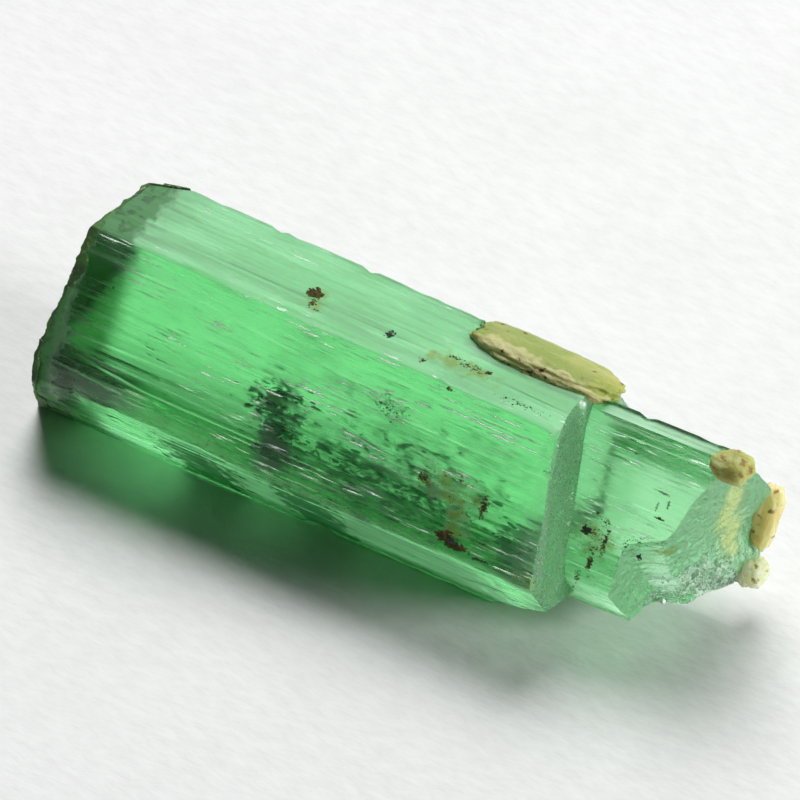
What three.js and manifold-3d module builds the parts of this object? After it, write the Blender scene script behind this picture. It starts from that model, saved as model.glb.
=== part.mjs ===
// Emerald crystal: a thick hexagonal prism that steps down to a thinner one, lying on one prism face,
// with a dark coating on its left end and remnants of its host rock on its back edge and its broken end.
// Millimetres, +Z up. X runs along the crystal's axis, -Y is its front and the origin is under its middle.
import * as THREE from 'three';
import { mergeVertices } from 'three/addons/utils/BufferGeometryUtils.js';
import Module from 'manifold-3d';

const wasm = await Module();
wasm.setup();

// ---------------------------------------------------------------- Driving dimensions

// The six prism faces in order round the section. "turn" is the way that a face looks, in degrees from +Y
// towards +Z, "reach" is its distance from the axis on the thick prism, and "inset" is how much nearer to the
// axis it lies on the thin prism. "steps" is its number of growth steps: the face that it rests on has none.
// "flare" is how much further out a face lies at the left end of the thick prism than at its right end.
const FACES = [
  { name: 'upper back', turn: 30, reach: 3.45, inset: 0.75, steps: 7, flare: 0 },
  { name: 'top', turn: 90, reach: 4.28, inset: 0.12, steps: 5, flare: 0 },
  { name: 'upper front', turn: 150, reach: 3.42, inset: 1.55, steps: 8, flare: 0 },
  { name: 'lower front', turn: 210, reach: 3.66, inset: 1.04, steps: 6, flare: 0.25 },
  { name: 'bottom', turn: 270, reach: 3.95, inset: 1.0, steps: 0, flare: 0 },
  { name: 'lower back', turn: 330, reach: 3.54, inset: 0.62, steps: 7, flare: 0 },
];

// Growth steps that run along the prism faces.
const STEP_DEPTH = 0.07;
const STEP_RAMP = 0.012;        // share of the face's width that one riser takes
const STEP_UNEVENNESS = 0.3;    // how far the risers stray from even spacing, as a share of it

// Places along the axis, measured from the left tip.
const THICK_LENGTH = 18.9;
const THIN_TILT = 2.2;          // degrees that the thin prism turns towards the back
const OVERLAP = 6;              // how far the thin prism runs on inside the thick one
const BEYOND = 4;               // how far cutters and blanks run past the crystal

// Every end surface is made of planes x = base + yawSlope * y + pitchSlope * z, with y and z from the axis.
// The left end is oblique, and chipped at its front and at its upper back corner.
const LEFT_END = [
  { name: 'main', base: 0.78, yawSlope: -0.04, pitchSlope: 0.2 },
  { name: 'front chip', base: -0.3, yawSlope: -0.36, pitchSlope: 0.1 },
  { name: 'back slope', base: 0.7, yawSlope: 0.21, pitchSlope: 0.3 },
  { name: 'corner chip', base: -13.3, yawSlope: 2.7, pitchSlope: 3.0 },
];
const LEFT_ROUGHNESS = 0.08;

// The end of the thick prism, where it steps down, slopes back below the thin prism.
const SHOULDER = [
  { name: 'main', base: THICK_LENGTH, yawSlope: -0.12, pitchSlope: -0.09 },
  { name: 'lower bevel', base: 21.5, yawSlope: -0.1, pitchSlope: 1.2 },
];
const SHOULDER_ROUGHNESS = 0.1;

// The broken right end: an oblique main surface, and a ledge at the lower front where a flatter floor lies
// deeper behind a steep wall.
const BROKEN_MAIN = { base: 22.6, yawSlope: 0.4, pitchSlope: 0.185 };
const LEDGE_FLOOR = { base: 21.2, yawSlope: 0.05, pitchSlope: 0 };
const LEDGE_WALL = { base: 24.0, yawSlope: 2.34, pitchSlope: 0.87 };
const BROKEN_ROUGHNESS = 0.17;
const BROKEN_DENTS = [
  { name: 'lower back bulge', depth: -0.35, y: 2.1, z: -2.1, width: 1.0 },
  { name: 'top bulge', depth: -0.3, y: 1.0, z: 4.0, width: 0.6 },
  { name: 'ridge chip', depth: 0.35, y: -0.1, z: 3.9, width: 0.6 },
  { name: 'back chip', depth: 0.45, y: 3.3, z: -0.3, width: 1.0 },
];

// Fracture surfaces and lumps are gridded this finely.
const GRID_WIDTH = 13;
const GRID_CELLS = 26;
const LUMP_DETAIL = 5;

// What is stuck on the crystal lies this far clear of it.
const GAP = 0.05;

// The coating on the left end, and how far it stays inside the end's rim.
const COATING_THICKNESS = 0.2;
const COATING_MARGIN = 0.15;

// Lumps of host rock: centre and half sizes, with "roll" the turn about X, "squareness" 2 for an ellipsoid and
// more for a boxier shape, and "ripple" the height of about "waves" waves on the surface.
// The rind is set into a notch in the upper back edge.
const RIND = {
  name: 'matrix_rind',
  colour: 0xa7ba5e,
  roughness: 0.55,
  centre: [16.4, 1.15, 3.77],
  half: [2.5, 1.25, 0.5],
  roll: -30,
  squareness: 3.4,
  ripple: 0.07,
  waves: 1.7,
};
const NOTCH_STRETCH = 3;        // how much further than the rind the notch's cutter reaches outwards

// The crusts lie on the broken end.
const END_CRUSTS = [
  {
    name: 'end_crust_upper',
    colour: 0xc8a766,
    roughness: 0.7,
    centre: [23.8, 0.36, 3.94],
    half: [0.6, 0.58, 0.46],
    roll: -12,
    squareness: 2.4,
    ripple: 0.08,
    waves: 2.3,
  },
  {
    name: 'end_crust_outer',
    colour: 0xd2a560,
    roughness: 0.7,
    centre: [23.44, 2.83, -0.6],
    half: [0.44, 0.38, 1.1],
    roll: -30,
    squareness: 2.6,
    ripple: 0.08,
    waves: 2.4,
  },
  {
    name: 'end_crust_lower',
    colour: 0xbfc39a,
    roughness: 0.65,
    centre: [23.48, 2.1, -2.3],
    half: [0.42, 0.4, 0.42],
    roll: -20,
    squareness: 2.3,
    ripple: 0.08,
    waves: 2.6,
  },
];

// ---------------------------------------------------------------- Solids

function toSolid(geometry) {
  const bare = geometry.clone();
  bare.deleteAttribute('normal');
  bare.deleteAttribute('uv');
  const merged = mergeVertices(bare, 1e-5);
  return new wasm.Manifold(new wasm.Mesh({
    numProp: 3,
    vertProperties: merged.attributes.position.array,
    triVerts: new Uint32Array(merged.index.array),
  }));
}

function toGeometry(solid) {
  const mesh = solid.getMesh();
  const geometry = new THREE.BufferGeometry();
  geometry.setAttribute('position', new THREE.BufferAttribute(mesh.vertProperties, 3));
  geometry.setIndex(new THREE.BufferAttribute(mesh.triVerts, 1));
  geometry.computeVertexNormals();
  return geometry;
}

// ---------------------------------------------------------------- Uneven surfaces

// A smooth, repeatable unevenness between about -1 and 1.
function unevenness(u, v) {
  const broad = Math.sin(1.31 * u + 0.7) * Math.cos(1.13 * v - 0.4);
  const crossed = Math.sin(2.3 * u - 1.9 * v + 1.1);
  const fine = Math.sin(4.1 * u + 3.3 * v) * Math.cos(3.7 * v - 2.9 * u);
  return 0.5 * broad + 0.3 * crossed + 0.2 * fine;
}

function plane(surface, y, z) {
  return surface.base + surface.yawSlope * y + surface.pitchSlope * z;
}

// How much a list of rounded dents takes off at (y, z).
function dentDepth(dents, y, z) {
  return dents.reduce((sum, dent) => {
    const distance = Math.hypot(y - dent.y, z - dent.z) / dent.width;
    return sum + dent.depth * Math.exp(-distance * distance);
  }, 0);
}

function leftEnd(y, z) {
  const innermost = Math.max(...LEFT_END.map((surface) => plane(surface, y, z)));
  return innermost + LEFT_ROUGHNESS * unevenness(1.9 * y, 1.7 * z);
}

function shoulder(y, z) {
  const innermost = Math.min(...SHOULDER.map((surface) => plane(surface, y, z)));
  return innermost + SHOULDER_ROUGHNESS * unevenness(1.6 * z, 1.5 * y);
}

function brokenEnd(y, z) {
  const ledge = Math.max(plane(LEDGE_FLOOR, y, z), plane(LEDGE_WALL, y, z));
  const broad = Math.min(plane(BROKEN_MAIN, y, z), ledge);
  return broad + BROKEN_ROUGHNESS * unevenness(1.4 * y, 1.2 * z) - dentDepth(BROKEN_DENTS, y, z);
}

// A block from the uneven surface x = surface(y, z) to the flat plane x = far.
function blockBetween(surface, far) {
  const geometry = new THREE.BoxGeometry(1, GRID_WIDTH, GRID_WIDTH, 1, GRID_CELLS, GRID_CELLS);
  const points = geometry.attributes.position;
  const unevenSide = far > surface(0, 0) ? -1 : 1;
  for (let i = 0; i < points.count; i += 1) {
    const isUneven = Math.sign(points.getX(i)) === unevenSide;
    points.setX(i, isUneven ? surface(points.getY(i), points.getZ(i)) : far);
  }
  return toSolid(geometry);
}

// ---------------------------------------------------------------- The prisms

// Where the lines of two neighbouring faces cross, as (y, z).
function cornerBetween(first, second) {
  const a = first.turn * THREE.MathUtils.DEG2RAD;
  const b = second.turn * THREE.MathUtils.DEG2RAD;
  const spread = Math.sin(b - a);
  return new THREE.Vector2(
    (first.distance * Math.sin(b) - second.distance * Math.sin(a)) / spread,
    (second.distance * Math.cos(a) - first.distance * Math.cos(b)) / spread,
  );
}

// The points along one face, from one corner to the next: flat strips at slightly different levels, which
// meet in small risers. The first and last strips keep the face's full height, so the corners stay sharp.
function steppedFace(face, from, to) {
  const turn = face.turn * THREE.MathUtils.DEG2RAD;
  const inward = new THREE.Vector2(-Math.cos(turn), -Math.sin(turn));
  const points = [from];
  let level = 0;
  for (let i = 1; i <= face.steps; i += 1) {
    const stray = STEP_UNEVENNESS * Math.sin(2.4 * i + face.turn);
    const place = (i + stray) / (face.steps + 1);
    const isLast = i === face.steps;
    const next = isLast ? 0 : STEP_DEPTH * (0.5 + 0.5 * Math.sin(1.9 * i + face.turn));
    points.push(from.clone().lerp(to, place).addScaledVector(inward, level));
    points.push(from.clone().lerp(to, place + STEP_RAMP).addScaledVector(inward, next));
    level = next;
  }
  return points;
}

// The outline of a section, as (y, z) points, with every face at its "distance" from the axis.
function sectionOutline(faces) {
  const corners = faces.map((face, i) => cornerBetween(face, faces[(i + 1) % faces.length]));
  return faces.flatMap((face, i) => {
    const previous = corners[(i + faces.length - 1) % faces.length];
    return steppedFace(face, previous, corners[i]);
  });
}

// A solid along X from one section to another. Both sections have the same number of points.
function prism(startFaces, endFaces, start, end) {
  const startOutline = sectionOutline(startFaces);
  const endOutline = sectionOutline(endFaces);
  const geometry = new THREE.ExtrudeGeometry(new THREE.Shape(startOutline), {
    depth: end - start,
    bevelEnabled: false,
  });
  const points = geometry.attributes.position;
  for (let i = 0; i < points.count; i += 1) {
    if (points.getZ(i) > 0) {
      const place = new THREE.Vector2(points.getX(i), points.getY(i));
      const gaps = startOutline.map((point) => point.distanceTo(place));
      const match = endOutline[gaps.indexOf(Math.min(...gaps))];
      points.setXY(i, match.x, match.y);
    }
  }
  const alongX = new THREE.Matrix4().makeBasis(
    new THREE.Vector3(0, 1, 0),
    new THREE.Vector3(0, 0, 1),
    new THREE.Vector3(1, 0, 0),
  );
  geometry.applyMatrix4(alongX);
  geometry.translate(start, 0, 0);
  return geometry;
}

// The thick prism between two places along the axis, with its faces moved out by "skin".
function thickPrism(start, end, skin, hasSteps) {
  const facesAt = (x) => FACES.map((face) => ({
    ...face,
    distance: face.reach + face.flare * (1 - x / THICK_LENGTH) + skin,
    steps: hasSteps ? face.steps : 0,
  }));
  return prism(facesAt(start), facesAt(end), start, end);
}

// The thin prism, turned a little towards the back, with its faces moved out by "skin".
function thinPrism(end, skin) {
  const faces = FACES.map((face) => ({ ...face, distance: face.reach - face.inset + skin }));
  const geometry = prism(faces, faces, -OVERLAP, end - THICK_LENGTH);
  geometry.rotateZ(THIN_TILT * THREE.MathUtils.DEG2RAD);
  geometry.translate(THICK_LENGTH, 0, 0);
  return geometry;
}

// Both prisms joined and broken at their ends, with every surface moved out by "skin".
function crystalSolid(skin) {
  const far = BROKEN_MAIN.base + BEYOND;
  const thick = toSolid(thickPrism(-BEYOND, far, skin, true))
    .subtract(blockBetween((y, z) => shoulder(y, z) + skin, far + BEYOND));

  return thick.add(toSolid(thinPrism(far, skin)))
    .subtract(blockBetween((y, z) => brokenEnd(y, z) + skin, far + BEYOND))
    .subtract(blockBetween((y, z) => leftEnd(y, z) - skin, -BEYOND - 1));
}

// ---------------------------------------------------------------- What is stuck on the crystal

// The thin coating on the left end: a slice just outside the end surface, a little smaller than the end.
function coatingSolid() {
  const outside = (y, z) => leftEnd(y, z) - GAP - COATING_THICKNESS;
  return toSolid(thickPrism(-BEYOND, BEYOND + 1, -COATING_MARGIN, false))
    .intersect(blockBetween((y, z) => leftEnd(y, z) - GAP, -BEYOND - 1))
    .subtract(blockBetween(outside, -BEYOND - 1));
}

// A rounded, uneven lump, moved out by "skin" and then stretched outwards, away from the axis.
function lumpSolid(lump, skin, outwardStretch) {
  const geometry = new THREE.IcosahedronGeometry(1, LUMP_DETAIL);
  const points = geometry.attributes.position;
  const point = new THREE.Vector3();
  for (let i = 0; i < points.count; i += 1) {
    point.fromBufferAttribute(points, i);
    const power = lump.squareness;
    const norm = Math.abs(point.x) ** power + Math.abs(point.y) ** power + Math.abs(point.z) ** power;
    const bump = lump.ripple * unevenness(lump.waves * (point.x + point.z), lump.waves * (point.y - point.z));
    point.multiplyScalar((1 + bump) / norm ** (1 / power));
    point.multiply(new THREE.Vector3(...lump.half).addScalar(skin));
    points.setXYZ(i, point.x, point.y, point.z > 0 ? point.z * outwardStretch : point.z);
  }
  geometry.rotateX(lump.roll * THREE.MathUtils.DEG2RAD);
  geometry.translate(...lump.centre);
  return toSolid(geometry);
}

// ---------------------------------------------------------------- The part

function named(name, solid, colour, roughness) {
  const material = new THREE.MeshStandardMaterial({ color: colour, roughness, metalness: 0 });
  const mesh = new THREE.Mesh(toGeometry(solid), material);
  mesh.name = name;
  return mesh;
}

const group = new THREE.Group();
const crystal = crystalSolid(0).subtract(lumpSolid(RIND, GAP, NOTCH_STRETCH));
group.add(named('emerald_crystal', crystal, 0x55c073, 0.2));
group.add(named('dark_end_crust', coatingSolid(), 0x26351c, 0.8));
group.add(named(RIND.name, lumpSolid(RIND, 0, 1), RIND.colour, RIND.roughness));

const crystalWithGap = crystalSolid(GAP);
for (const lump of END_CRUSTS) {
  const crust = lumpSolid(lump, 0, 1).subtract(crystalWithGap);
  group.add(named(lump.name, crust, lump.colour, lump.roughness));
}

// The origin goes under the middle of the whole part, on the plane that it rests on.
const extent = new THREE.Box3().setFromObject(group);
const middle = extent.getCenter(new THREE.Vector3());
group.position.set(-middle.x, -middle.y, -extent.min.z);

export default group;
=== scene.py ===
"""The looks of the emerald crystal.

A thick striated prism steps down to a thinner one with a broken end. A dark coating covers the left end, a
yellow-olive rind of host rock sits in the upper back edge, and three tan crusts lie on the broken end.
The crystal is see-through, and the growth tubes, veils and dark grains sealed in it are meshes of their own.

Shapes are worked out in millimetres in the crystal's own section frame: X along the prism from its left tip,
(y, z) from the prism's axis. to_frame() takes them to the part's frame, in metres.
"""

import math

import bpy
import numpy as np
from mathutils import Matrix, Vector


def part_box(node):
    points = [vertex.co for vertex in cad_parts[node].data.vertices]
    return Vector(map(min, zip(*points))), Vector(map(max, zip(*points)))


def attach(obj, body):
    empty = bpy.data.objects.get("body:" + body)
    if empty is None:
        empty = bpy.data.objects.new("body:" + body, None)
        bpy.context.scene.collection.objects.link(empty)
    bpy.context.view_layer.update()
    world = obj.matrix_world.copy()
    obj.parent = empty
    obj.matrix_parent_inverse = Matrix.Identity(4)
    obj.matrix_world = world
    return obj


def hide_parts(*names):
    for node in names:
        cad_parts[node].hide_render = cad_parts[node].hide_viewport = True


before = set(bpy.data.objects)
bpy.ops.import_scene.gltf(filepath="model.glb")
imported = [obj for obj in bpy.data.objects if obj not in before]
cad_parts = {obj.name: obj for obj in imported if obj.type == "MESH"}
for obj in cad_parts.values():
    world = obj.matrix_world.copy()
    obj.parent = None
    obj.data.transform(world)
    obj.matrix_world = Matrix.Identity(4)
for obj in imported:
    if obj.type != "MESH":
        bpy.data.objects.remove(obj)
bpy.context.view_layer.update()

MM = 0.001
crystal_low, crystal_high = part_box("emerald_crystal")
# The axis at the left tip. The crystal's box reaches 0.07 mm beyond the tip and 4.04 mm behind the axis.
AXIS_START = np.array([crystal_low.x / MM + 0.07, crystal_high.y / MM - 4.04, 3.95])

# ---------------- Driving dimensions

# The six prism faces in order round the section, as in the CAD. "turn" is the way that a face looks, in
# degrees from +Y towards +Z, and "reach" is its distance from the axis. "inset" is how much nearer it is on
# the thin prism, and "flare" how much further out it lies at the left end.
FACES = [
    {"name": "upper back", "turn": 30, "reach": 3.45, "inset": 0.75, "flare": 0.0},
    {"name": "top", "turn": 90, "reach": 4.28, "inset": 0.12, "flare": 0.0},
    {"name": "upper front", "turn": 150, "reach": 3.42, "inset": 1.55, "flare": 0.0},
    {"name": "lower front", "turn": 210, "reach": 3.66, "inset": 1.04, "flare": 0.25},
    {"name": "bottom", "turn": 270, "reach": 3.95, "inset": 1.0, "flare": 0.0},
    {"name": "lower back", "turn": 330, "reach": 3.54, "inset": 0.62, "flare": 0.0},
]
THICK_LENGTH = 18.9
THIN_TILT = 2.2             # degrees
THIN_ROOT = 5.0             # how far the thin prism reaches back into the thick one
SPECKS_ON_THIN = 19.4       # specks beyond this X lie on the thin prism
SPECK_DEPTH = 0.004         # how far the middle of a speck lies inside its face
FLAKE_RIM = (0.55, 1.25)    # shortest and longest reach of a flake's rim, as shares of its radius
TIP_MARGIN = 0.05           # between the tips of a sealed flake and the crystal's faces

# How far the long edges are rounded: at the left end, further right, on the thin prism. The edges are
# numbered by the face after them, and the others have SHARP_EDGE.
EDGE_ROUNDING = {1: (0.02, 0.02, 0.004), 2: (0.06, 0.06, 0.3), 3: (0.2, 0.08, 0.2)}
SHARP_EDGE = (0.02, 0.02, 0.02)
POINT_SPACING = 0.036       # between mesh points round the section
STATION_SPACING = 0.3       # between mesh rings along the prism

# End surfaces, x = base + yaw * y + pitch * z.
LEFT_END = [(0.78, -0.04, 0.2), (-0.3, -0.36, 0.1), (0.7, 0.21, 0.3), (-13.3, 2.7, 3.0)]
SHOULDER = [(18.9, -0.12, -0.09), (21.3, -0.1, 1.2)]
BROKEN_MAIN = (22.6, 0.4, 0.185)
LEDGE_FLOOR = (21.2, 0.05, 0.0)
LEDGE_WALL = (24.0, 2.34, 0.87)
# Rounded dents in the broken end: depth, y, z, width. A depth below 0 makes a swelling.
BROKEN_DENTS = [
    (-0.35, 2.1, -2.1, 1.0), (-0.3, 1.0, 4.0, 0.6),
    (0.35, -0.1, 3.9, 0.6), (0.45, 3.3, -0.3, 1.0),
]
CRUSHED_PLACE = (0.45, -1.8)    # y, z of the crushed white part of the broken end
CRUSHED_WIDTH = 1.1

# Lumps, as in the CAD: "roll" is the turn about X, and "squareness" 2 for an ellipsoid,
# more for a boxier shape.
RIND = {
    "centre": (16.4, 1.25, 3.79), "half": (2.5, 1.1, 0.5),
    "roll": -30, "squareness": 3.4, "rough": 0.09,
}
UPPER_CRUST = {
    "centre": (23.72, 0.4, 3.98), "half": (0.62, 0.5, 0.36),
    "roll": -12, "squareness": 3.4, "rough": 0.12,
}
OUTER_CRUST = {
    "centre": (23.46, 2.9, -0.6), "half": (0.42, 0.29, 1.08),
    "roll": -30, "squareness": 3.2, "rough": 0.14,
}
LOWER_CRUST = {
    "centre": (23.48, 2.1, -2.3), "half": (0.42, 0.4, 0.42),
    "roll": -20, "squareness": 3.0, "rough": 0.16,
}
LUMP_SKIN = 0.03            # how far a lump stands out from its size above

# Refraction and colour of the crystal. The tubes sealed in it are hollow.
EMERALD_IOR = 1.58
ABSORPTION_COLOUR = (0.08, 0.93, 0.26, 1)
ABSORPTION_DENSITY = 180.0  # a metre
DEEPEST_BUMP = 6e-6         # metres

# The floor lies just under the crystal, so that light is still reflected inside its bottom face.
FLOOR_LEVEL = -2e-5
FLOOR_HALF_SIZE = 1.5

# Azimuth 0 is at the front and 90 is at +X. Distances and sizes here are in metres.
CAMERA_AZIMUTH, CAMERA_ELEVATION = 31.8, 46.0
CAMERA_DISTANCE = 0.8
CAMERA_TARGET = (-0.185, 0.238, 4.63)   # millimetres
PIXELS_PER_MM = 32.26
IMAGE_WIDTH = 800
# Each light: azimuth, elevation, distance, size, power in watts. The two backdrops shine through the crystal.
LIGHTS = {
    "key": (204, 65.5, 0.35, 0.22, 0.88),
    "side": (100, 20, 0.35, 0.12, 0.8),
    "backdrop": (180 + CAMERA_AZIMUTH, CAMERA_ELEVATION, 0.4, 0.26, 0.34),
    "low_backdrop": (202, 11, 0.4, 0.16, 0.12),
}


# ---------------- Noise

def lattice(ix, iy, iz, seed):
    """A repeatable value between -1 and 1 for each whole-number place."""
    mixed = (ix * 73856093) ^ (iy * 19349663) ^ (iz * 83492791) ^ (seed * 9176203)
    mixed = (mixed & 0xFFFFFFFF) * 1274126177 & 0xFFFFFFFF
    mixed = (mixed ^ (mixed >> 15)) * 2246822519 & 0xFFFFFFFF
    mixed = mixed ^ (mixed >> 13)
    return (mixed & 0xFFFF) / 32767.5 - 1.0


def noise(x, y=0.0, z=0.0, seed=0):
    """Smooth noise between about -1 and 1, on arrays of places."""
    x, y, z = np.broadcast_arrays(np.asarray(x, float), np.asarray(y, float), np.asarray(z, float))
    ix, iy, iz = (np.floor(v).astype(np.int64) for v in (x, y, z))
    fx, fy, fz = x - ix, y - iy, z - iz
    wx, wy, wz = (f * f * (3.0 - 2.0 * f) for f in (fx, fy, fz))
    total = 0.0
    for dx in (0, 1):
        for dy in (0, 1):
            for dz in (0, 1):
                weight = (wx if dx else 1 - wx) * (wy if dy else 1 - wy) * (wz if dz else 1 - wz)
                total = total + weight * lattice(ix + dx, iy + dy, iz + dz, seed)
    return total


def fractal(x, y=0.0, z=0.0, octaves=4, seed=0, gain=0.5):
    """Noise with finer and finer detail."""
    total, height, scale = 0.0, 1.0, 1.0
    for octave in range(octaves):
        total = total + height * noise(x * scale, y * scale, z * scale, seed + octave)
        height *= gain
        scale *= 2.03
    return total


def scallops(u, v, cell, seed):
    """Distance to the nearest of many scattered points, as a share of the cell: shells with sharp ridges."""
    iu, iv = np.floor(u / cell).astype(np.int64), np.floor(v / cell).astype(np.int64)
    nearest = np.full(np.shape(u), 9.0)
    for du in (-1, 0, 1):
        for dv in (-1, 0, 1):
            cu, cv = iu + du, iv + dv
            pu = cu + 0.5 + 0.45 * lattice(cu, cv, 0 * cu, seed)
            pv = cv + 0.5 + 0.45 * lattice(cu, cv, 0 * cu + 1, seed)
            nearest = np.minimum(nearest, np.hypot(u / cell - pu, v / cell - pv))
    return nearest


# ---------------- Mesh helpers

def to_frame(points):
    """Section millimetres to metres in the part's frame."""
    return (np.asarray(points, float) + AXIS_START) * MM


def rotated(first, second, degrees):
    """Two coordinates turned by an angle, from the first axis towards the second."""
    turn = math.radians(degrees)
    return first * math.cos(turn) - second * math.sin(turn), first * math.sin(turn) + second * math.cos(turn)


def reached(face, y, z):
    """How far out from the axis a place lies, in the way that a face looks."""
    turn = math.radians(face["turn"])
    return y * math.cos(turn) + z * math.sin(turn)


def make_object(name, points, faces):
    """A new object from places in metres and lists of corner numbers."""
    mesh = bpy.data.meshes.new(name)
    mesh.from_pydata(np.asarray(points).tolist(), [], faces if isinstance(faces, list) else faces.tolist())
    mesh.update()
    piece = bpy.data.objects.new(name, mesh)
    bpy.context.scene.collection.objects.link(piece)
    return piece


def finish_piece(piece, material, node=None):
    """Gives a piece its material and body, and hides the CAD node that it stands for."""
    piece.data.materials.clear()
    piece.data.materials.append(material)
    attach(piece, "root")
    if node is not None:
        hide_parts(node)


def shade_smooth(piece, angle):
    mesh = piece.data
    mesh.polygons.foreach_set("use_smooth", [True] * len(mesh.polygons))
    mesh.set_sharp_from_angle(angle=math.radians(angle))


def combine(piece, other, operation):
    """Joins or cuts with a Boolean modifier, and removes the other object."""
    modifier = piece.modifiers.new("combine", "BOOLEAN")
    modifier.object = other
    modifier.operation = operation
    modifier.solver = "MANIFOLD"
    graph = bpy.context.evaluated_depsgraph_get()
    result = bpy.data.meshes.new_from_object(piece.evaluated_get(graph))
    old = piece.data
    piece.modifiers.clear()
    piece.data = result
    bpy.data.meshes.remove(old)
    bpy.data.objects.remove(other)
    result.name = piece.name


def grid_faces(rows, columns, close_columns=False):
    """Quads of a grid of points stored row by row."""
    steps = columns if close_columns else columns - 1
    row, column = np.meshgrid(np.arange(rows - 1), np.arange(steps), indexing="ij")
    here = row * columns + column
    right = row * columns + (column + 1) % columns
    return np.stack([here, right, right + columns, here + columns], -1).reshape(-1, 4)


def fan(centre, ring, flip):
    """Triangles from a centre point to each side of a closed ring of points."""
    sides = zip(ring, ring[1:] + ring[:1])
    return [[centre, b, a] if flip else [centre, a, b] for a, b in sides]


# ---------------- End surfaces

def planes(surfaces, y, z):
    return [base + yaw * y + pitch * z for base, yaw, pitch in surfaces]


def left_end(y, z):
    broad = np.max(planes(LEFT_END, y, z), axis=0)
    return broad + 0.06 * fractal(1.1 * y, 1.1 * z, octaves=5, seed=11)


def shoulder(y, z):
    """The step between the two prisms, with its outer edge worn round and a hollow curve at its foot."""
    below_thick, above_thin = np.full(np.shape(y), 99.0), np.full(np.shape(y), -99.0)
    for face in FACES:
        below_thick = np.minimum(below_thick, face["reach"] - reached(face, y, z))
        above_thin = np.maximum(above_thin, reached(face, y, z) - face["reach"] + face["inset"])
    worn = 0.2 * np.exp(-np.maximum(below_thick, 0) / 0.2)
    foot = 0.2 * np.exp(-np.maximum(above_thin, 0) / 0.3)
    steps = 0.1 * scallops(y, 0.6 * z, 1.3, 21) + 0.012 * fractal(y, z, octaves=3, seed=22)
    return np.min(planes(SHOULDER, y, z), axis=0) + steps - 0.06 - worn + foot


def soft_max(first, second, softness):
    """The larger of two values, with a rounded change from one to the other."""
    return softness * np.logaddexp(first / softness, second / softness)


def broken_end(y, z):
    main, floor, wall = planes([BROKEN_MAIN, LEDGE_FLOOR, LEDGE_WALL], y, z)
    ledge = soft_max(floor, wall, 0.16)
    broad = -soft_max(-main, -ledge, 0.08)
    for depth, at_y, at_z, width in BROKEN_DENTS:
        broad = broad - depth * np.exp(-((y - at_y) ** 2 + (z - at_z) ** 2) / width ** 2)
    warp_y = y + 0.25 * noise(1.3 * y, 1.3 * z, seed=31)
    warp_z = z + 0.25 * noise(1.3 * y, 1.3 * z, seed=32)
    crushed = np.exp(-((y - CRUSHED_PLACE[0]) ** 2 + (z - CRUSHED_PLACE[1]) ** 2) / CRUSHED_WIDTH ** 2)
    shells = 0.22 * scallops(warp_y, warp_z, 1.9, 33)
    shells = shells + (0.05 + 0.18 * crushed) * scallops(warp_y, warp_z, 0.55, 34)
    grain = (0.05 + 0.07 * crushed) * fractal(0.9 * y, 0.9 * z, octaves=6, seed=35, gain=0.6)
    return broad + shells - 0.16 + grain


def cutter(name, surface, far, cell):
    """A block with one uneven side, x = surface(y, z), and a flat side at x = far."""
    half = 6.0
    count = int(2 * half / cell) + 1
    y, z = np.meshgrid(np.linspace(-half, half, count), np.linspace(-half, half, count), indexing="ij")
    near_side = np.stack([surface(y, z), y, z], -1).reshape(-1, 3)
    far_corners = np.array([[far, sy * half, sz * half] for sy in (-1, 1) for sz in (-1, 1)])
    points = np.concatenate([near_side, far_corners])
    faces = grid_faces(count, count).tolist()
    index = np.arange(count * count).reshape(count, count)
    low_low, low_high, high_low, high_high = count * count + np.arange(4)
    faces.append([low_low, low_high] + index[0, ::-1].tolist())
    faces.append([high_high, high_low] + index[-1, :].tolist())
    faces.append([high_low, low_low] + index[:, 0].tolist())
    faces.append([low_high, high_high] + index[::-1, -1].tolist())
    faces.append([low_low, high_low, high_high, low_high])
    if far < surface(np.array(0.0), np.array(0.0)):
        faces = [face[::-1] for face in faces]
    return make_object(name, to_frame(points), faces)


# ---------------- The prisms

def corner(first, second, first_distance, second_distance):
    """Where the lines of two neighbouring faces cross."""
    a, b = math.radians(first["turn"]), math.radians(second["turn"])
    spread = math.sin(b - a)
    y = (first_distance * math.sin(b) - second_distance * math.sin(a)) / spread
    z = (second_distance * math.cos(a) - first_distance * math.cos(b)) / spread
    return y, z


def terraces(value, riser_share=0.12):
    """Turns a smooth value into flat steps one unit high, joined by steep risers."""
    level = np.floor(value)
    return level + np.clip((value - level - (1 - riser_share)) / riser_share, 0, 1)


def relief(face_number, along, x, depth):
    """How far the surface lies inside the true face: growth steps along the prism, and fine striae."""
    seed = 40 + 7 * face_number
    broad = 2.0 + 2.0 * noise(0.8 * along, 0.05 * x, seed=seed)
    broad = broad + 0.5 * noise(3.1 * along, 0.2 * x, seed=seed + 1)
    fine = 1.5 + 1.5 * noise(2.6 * along, 0.12 * x, seed=seed + 2)
    fine = fine + 0.5 * noise(9.0 * along, 0.5 * x, seed=seed + 3)
    striae = noise(6.5 * along, 0.3 * x, seed=seed + 4) + 0.6 * noise(13.0 * along, 0.55 * x, seed=seed + 5)
    return depth * (0.016 * terraces(broad) + 0.005 * terraces(fine) + 0.003 * striae)


def edge_wear(corner_number, x, distance, thin):
    """How far the surface near a long edge is drawn in: a rounding all along it, and chips here and there."""
    left, right, on_thin = EDGE_ROUNDING.get(corner_number, SHARP_EDGE)
    rounding = on_thin if thin else right + (left - right) * np.clip((9.0 - x) / 2.0, 0, 1)
    chip = np.maximum(0.0, noise(2.1 * x, seed=90 + corner_number) - 0.35) ** 2
    small_chip = np.maximum(0.0, noise(7.0 * x, seed=96 + corner_number) - 0.4) ** 2
    size = rounding + 0.3 * chip + 0.12 * small_chip
    return size * np.exp(-distance / (2 * size))


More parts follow.
